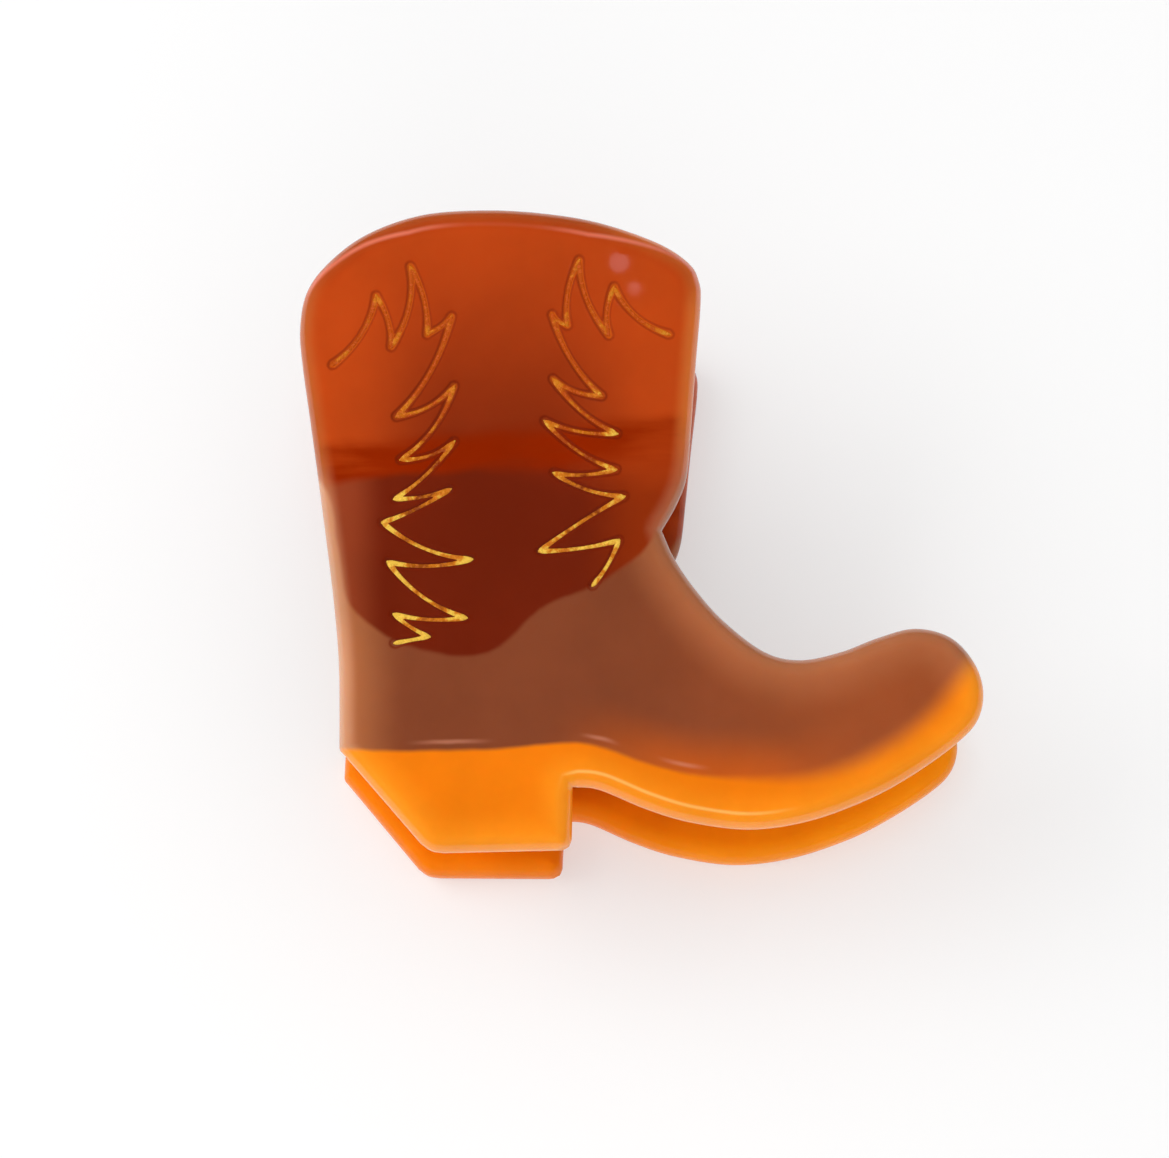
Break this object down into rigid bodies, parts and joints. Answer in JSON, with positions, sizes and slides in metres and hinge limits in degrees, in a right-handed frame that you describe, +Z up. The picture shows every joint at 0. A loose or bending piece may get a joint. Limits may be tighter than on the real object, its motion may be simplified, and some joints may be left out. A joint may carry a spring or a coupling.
{
  "type": "boot-shaped hair claw clip",
  "caption": "Hair claw clip: two boot-shaped translucent plates hinged on a sprung pin, with interlocking teeth inside; squeeze the boot tops to open.",
  "frame": {"origin": "foot of the hinge's middle on the resting face: the rear plate's outer face, straight below the middle of the pin", "axes": "+X along the hinge pin towards the boot's toe, +Y from the hinge towards the boot's top, +Z up from the resting face through the rear plate to the front plate"},
  "size_m": [0.0761, 0.0745, 0.0433],
  "materials": {
    "acetate_red": "polished translucent red-brown acetate",
    "acetate_brown": "polished translucent smoky brown acetate",
    "acetate_amber": "polished translucent amber acetate",
    "gold_fill": "gold filled engraving",
    "spring_steel": "bright drawn wire"
  },
  "bodies": {
    "rear_jaw": {"rear_shaft": "acetate_red", "rear_vamp": "acetate_brown", "rear_sole": "acetate_amber", "rear_stitch_left": "gold_fill", "rear_stitch_right": "gold_fill", "rear_comb": "acetate_amber", "rear_lug_left": "acetate_red", "rear_lug_right": "acetate_red", "hinge_pin": "spring_steel", "pin_collar_left": "spring_steel", "pin_collar_right": "spring_steel", "torsion_spring": "spring_steel"},
    "front_jaw": {"front_shaft": "acetate_red", "front_vamp": "acetate_brown", "front_sole": "acetate_amber", "front_stitch_left": "gold_fill", "front_stitch_right": "gold_fill", "front_comb": "acetate_amber", "front_lug_left": "acetate_red", "front_lug_right": "acetate_red"}
  },
  "joints": [
    {"name": "jaw_hinge", "type": "hinge", "parent": "rear_jaw", "child": "front_jaw", "pos_m": [0, 0, 0.01825], "axis": [-1, 0, 0], "range_deg": [0, 45], "stiffness_Nm_per_rad": 0.2, "springref_deg": -45.84, "deforming": ["torsion_spring"]}
  ]
}
